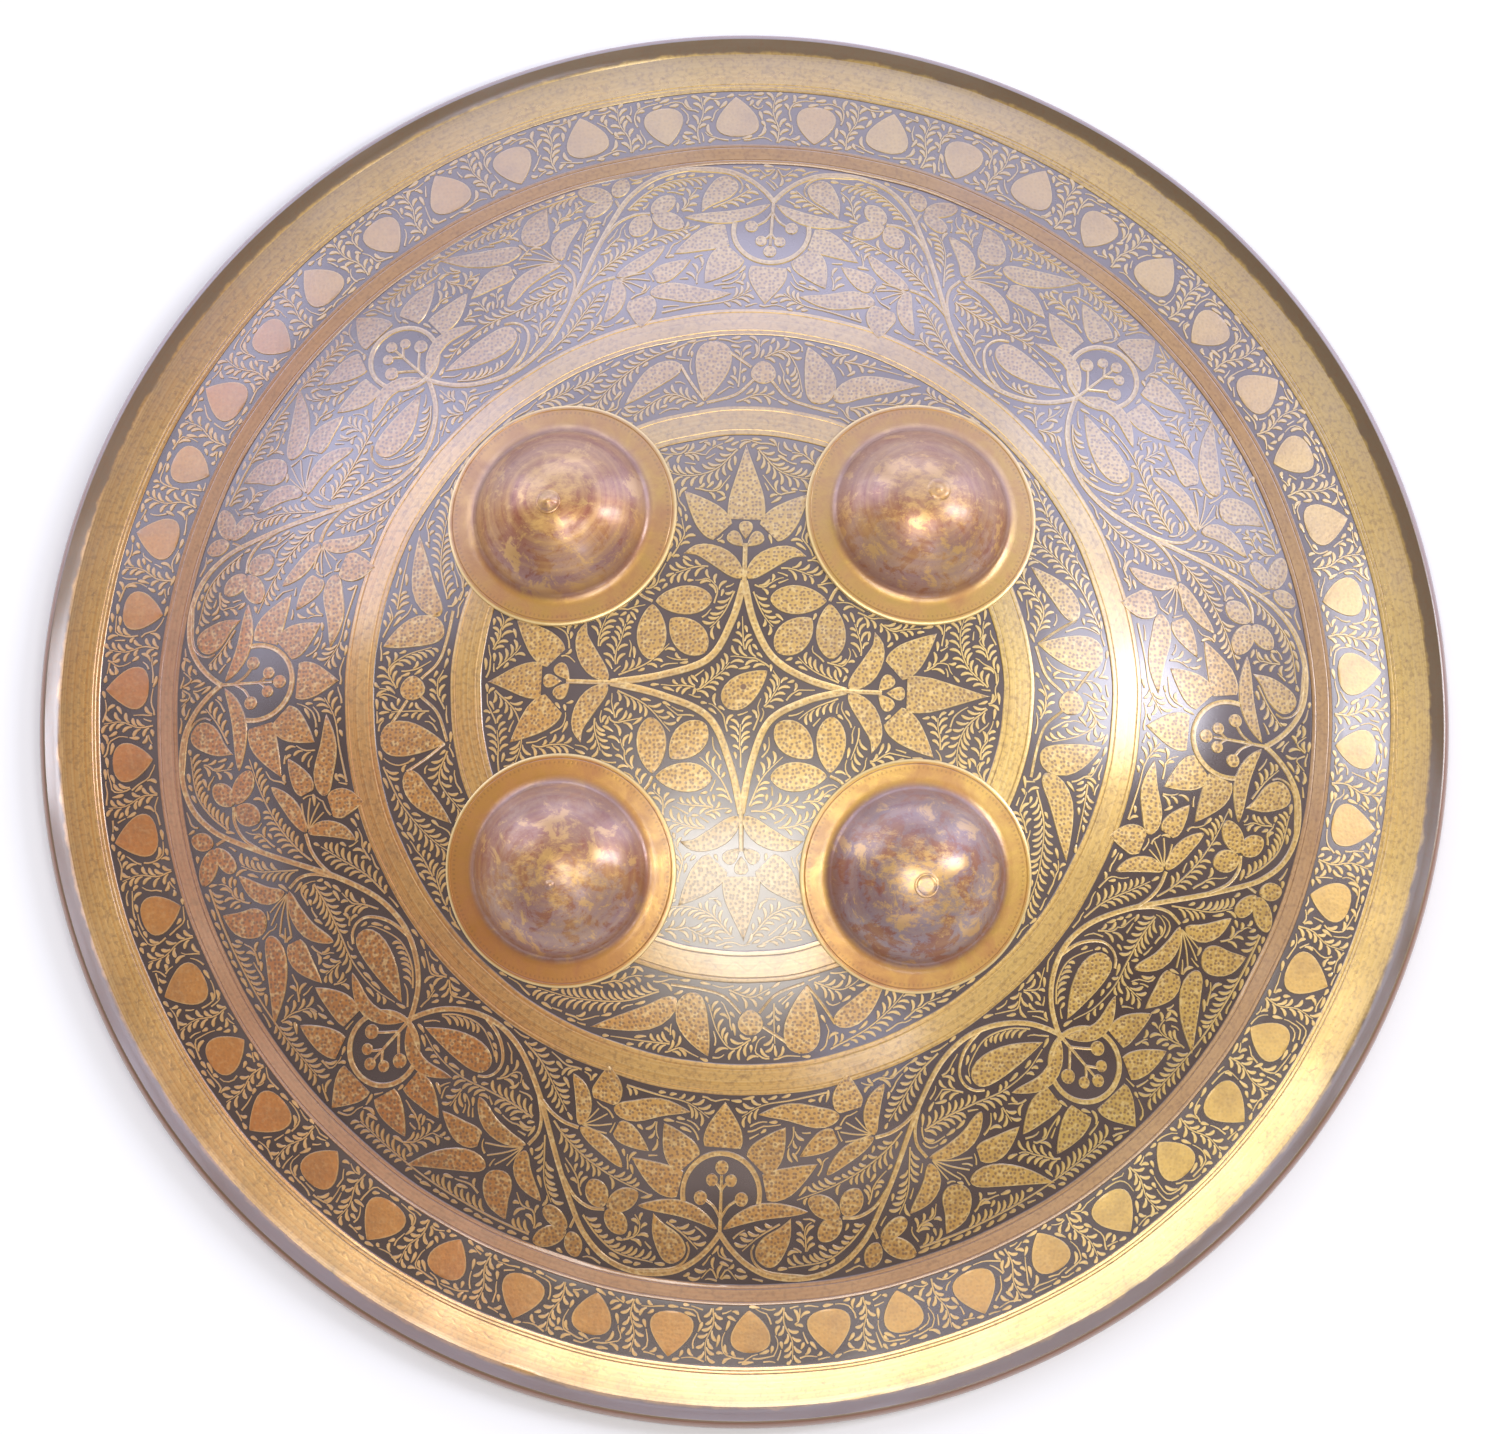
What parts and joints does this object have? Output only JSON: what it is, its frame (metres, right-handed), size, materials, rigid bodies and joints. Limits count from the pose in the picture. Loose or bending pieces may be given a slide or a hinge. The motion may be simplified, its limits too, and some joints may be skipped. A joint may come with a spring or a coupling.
{
  "type": "dhal shield",
  "caption": "Round domed brass shield with an engraved arabesque, riveted hollow bosses, a flat outer band and a rolled rim; hollow behind.",
  "frame": {"origin": "centre of the circle on which the rolled rim rests, at the level it rests on", "axes": "+Z along the axis of the dome, out of its face; +Y towards the top of the shield as carried, with the bosses on the diagonals"},
  "size_m": [0.4, 0.4, 0.0773],
  "materials": {
    "engraved_brass": "engraved and matted brass with dark lacquer in the cut ground, worn bright on top",
    "boss_brass": "red-brown patinated brass, rubbed golden in patches",
    "rivet_brass": "worn, dulled brass"
  },
  "bodies": {
    "root": {"bowl": "engraved_brass", "boss_upper_left": "boss_brass", "boss_upper_right": "boss_brass", "boss_lower_left": "boss_brass", "boss_lower_right": "boss_brass", "rivet_upper_left": "rivet_brass", "rivet_upper_right": "rivet_brass", "rivet_lower_left": "rivet_brass", "rivet_lower_right": "rivet_brass"}
  },
  "joints": []
}
